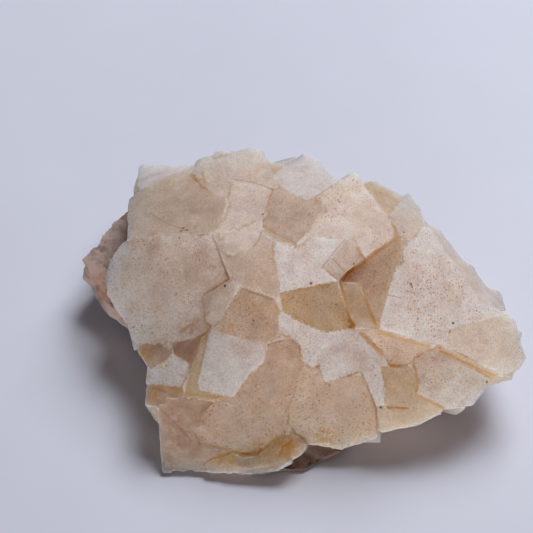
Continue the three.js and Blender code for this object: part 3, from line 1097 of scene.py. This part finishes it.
def rock_material(settings, tree):
    g = Graph("host_rock")
    underside = g.remap(g.from_point(UNDERSIDE), *UNDERSIDE_REACH)
    dark = g.math("MAXIMUM", g.remap(g.noise(3.5, detail=5.0, rough=0.65), 0.5, 0.72), underside)
    colour = g.cover(rgba(settings.pale), dark, 0.85, rgba(settings.dark))
    rust = g.remap(g.noise(2.4, detail=4.0, rough=0.6, distortion=0.5), 0.6, 0.72)
    rust = g.math("MAXIMUM", rust, patch_shares(g, tree, ROCK_STAINS))
    colour = g.cover(colour, rust, 0.7, rgba(settings.rust))
    colour = g.cover(colour, g.specks(0.9, 0.3, 0.3), 0.35, ROCK_SPECK)
    height = g.plus(g.noise(0.6, detail=4.0, rough=0.7), g.noise(2.0, detail=4.0, rough=0.6))
    bump = g.add("ShaderNodeBump", {"Strength": 0.7, "Distance": 0.3 * MM, "Height": height})
    looks = {"Base Color": colour, "Roughness": g.varied(0.8, 0.75, 0.95), "Normal": bump.outputs[0]}
    g.join(g.add("ShaderNodeBsdfPrincipled", looks).outputs[0], g.out.inputs["Surface"])
    return g.material


def table_material(settings):
    g = Graph("pale_table")
    colour = g.mix(1.0, rgba(settings.table), g.varied(30.0, 0.985, 1.01), "MULTIPLY")
    shader = g.add("ShaderNodeBsdfPrincipled", {"Base Color": colour, "Roughness": 0.6})
    g.join(shader.outputs[0], g.out.inputs["Surface"])
    return g.material


# ---------- operators ----------


def finish_piece(mesh, name, node, material):
    """Puts a detailed mesh in the scene in the place of its CAD node."""
    mesh.validate()
    mesh.materials.clear()
    mesh.materials.append(material)
    mesh.shade_smooth()
    mesh.set_sharp_from_angle(angle=SHARP_ANGLE)
    piece = add_object(name, mesh)
    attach(piece, "root")
    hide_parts(node)
    return piece


class SPECIMEN_OT_crystals(bpy.types.Operator):
    """Build the crust of intergrown crystals"""

    bl_idname = "specimen.crystals"
    bl_label = "Crystals"

    def execute(self, context):
        settings = context.scene.specimen_crystals
        facets = Facets(CrystalFaces(bare_mesh("fluorite_crystals")))
        solid = facets.solid(bare_mesh("fluorite_crystals"))
        faces = CrystalFaces(solid)
        mesh = shape_crystals(settings, solid, faces)
        paint_crystals(mesh, faces, facets)
        material = fluorite_material(settings, faces.tree)
        finish_piece(mesh, "cloudy_cubes", "fluorite_crystals", material)
        return {"FINISHED"}


class SPECIMEN_OT_rock(bpy.types.Operator):
    """Build the lump of host rock"""

    bl_idname = "specimen.rock"
    bl_label = "Host rock"

    def execute(self, context):
        settings = context.scene.specimen_rock
        mesh = fine_mesh(bare_mesh("host_rock"), settings.grain)
        points = vectors_of(mesh.vertices, "co")
        outward = vectors_of(mesh.vertices, "normal")
        ridges = np.abs(layered_noise(points, *ROCK_RIDGES))
        crumbs = layered_noise(points, *ROCK_CRUMBS)
        relief = RIDGE_SHARE * ridges + CRUMB_SHARE * crumbs + RELIEF_START
        free = step_between(0.0, ROCK_SOLE, points[:, 2])
        points += outward * (settings.roughness * relief * free)[:, None]
        put_points(mesh, points)
        mesh = thinned(mesh, settings.faces)
        material = rock_material(settings, tree_of(mesh))
        finish_piece(mesh, "rough_rock", "host_rock", material)
        return {"FINISHED"}


class SPECIMEN_OT_stage(bpy.types.Operator):
    """Set the table, the lights and the camera"""

    bl_idname = "specimen.stage"
    bl_label = "Table, light and camera"

    def execute(self, context):
        settings = context.scene.specimen_stage
        table = self.table(settings)
        self.light("window", settings.window_power, **WINDOW)
        self.light("fill", settings.fill_power, **FILL)
        world = bpy.data.worlds.new("sky")
        world.use_nodes = True
        sky = world.node_tree.nodes["Background"]
        sky.inputs["Color"].default_value = SKY
        sky.inputs["Strength"].default_value = settings.sky
        context.scene.world = world
        context.scene.view_settings.view_transform = "Standard"
        self.camera(context.scene)
        return {"FINISHED"}

    def table(self, settings):
        mesh = bpy.data.meshes.new("table")
        bm = bmesh.new()
        bmesh.ops.create_grid(bm, x_segments=TABLE_SQUARES, y_segments=TABLE_SQUARES, size=TABLE_HALF)
        for vert in bm.verts:
            vert.co.z = TABLE_TOP
        bm.to_mesh(mesh)
        bm.free()
        mesh.materials.append(table_material(settings))
        return add_object("table", mesh)

    def light(self, name, power, place, size, colour):
        lamp = bpy.data.lights.new(name, "AREA")
        lamp.shape = "RECTANGLE"
        lamp.size, lamp.size_y = size
        lamp.energy = power
        lamp.color = colour
        obj = add_object(name, lamp)
        obj.location = place
        obj.rotation_euler = (-Vector(place)).to_track_quat("-Z", "Y").to_euler()

    def camera(self, scene):
        lens = bpy.data.cameras.new("camera")
        lens.lens = LENS
        lens.sensor_width = SENSOR
        lens.clip_start = 0.01
        camera = add_object("camera", lens)
        camera.location = CAMERA_PLACE
        camera.rotation_euler = (CAMERA_TILT, 0, 0)
        scene.camera = camera


class SPECIMEN_PT_panel(bpy.types.Panel):
    """Lists the specimen's pieces"""

    bl_label = "Specimen"
    bl_idname = "SPECIMEN_PT_panel"
    bl_space_type = "VIEW_3D"
    bl_region_type = "UI"
    bl_category = "Specimen"

    def draw(self, context):
        for operator in OPERATORS:
            self.layout.operator(operator.bl_idname)


OPERATORS = (SPECIMEN_OT_crystals, SPECIMEN_OT_rock, SPECIMEN_OT_stage)
SETTINGS = {
    "specimen_crystals": CrystalSettings,
    "specimen_rock": RockSettings,
    "specimen_stage": StageSettings,
}


def register():
    for group in SETTINGS.values():
        bpy.utils.register_class(group)
    for operator in OPERATORS:
        bpy.utils.register_class(operator)
    bpy.utils.register_class(SPECIMEN_PT_panel)
    for name, group in SETTINGS.items():
        setattr(bpy.types.Scene, name, PointerProperty(type=group))


def unregister():
    for name in SETTINGS:
        delattr(bpy.types.Scene, name)
    bpy.utils.unregister_class(SPECIMEN_PT_panel)
    for operator in reversed(OPERATORS):
        bpy.utils.unregister_class(operator)
    for group in reversed(SETTINGS.values()):
        bpy.utils.unregister_class(group)


def main():
    register()
    bpy.ops.specimen.stage()
    bpy.ops.specimen.rock()
    bpy.ops.specimen.crystals()


if __name__ == "__main__":
    main()
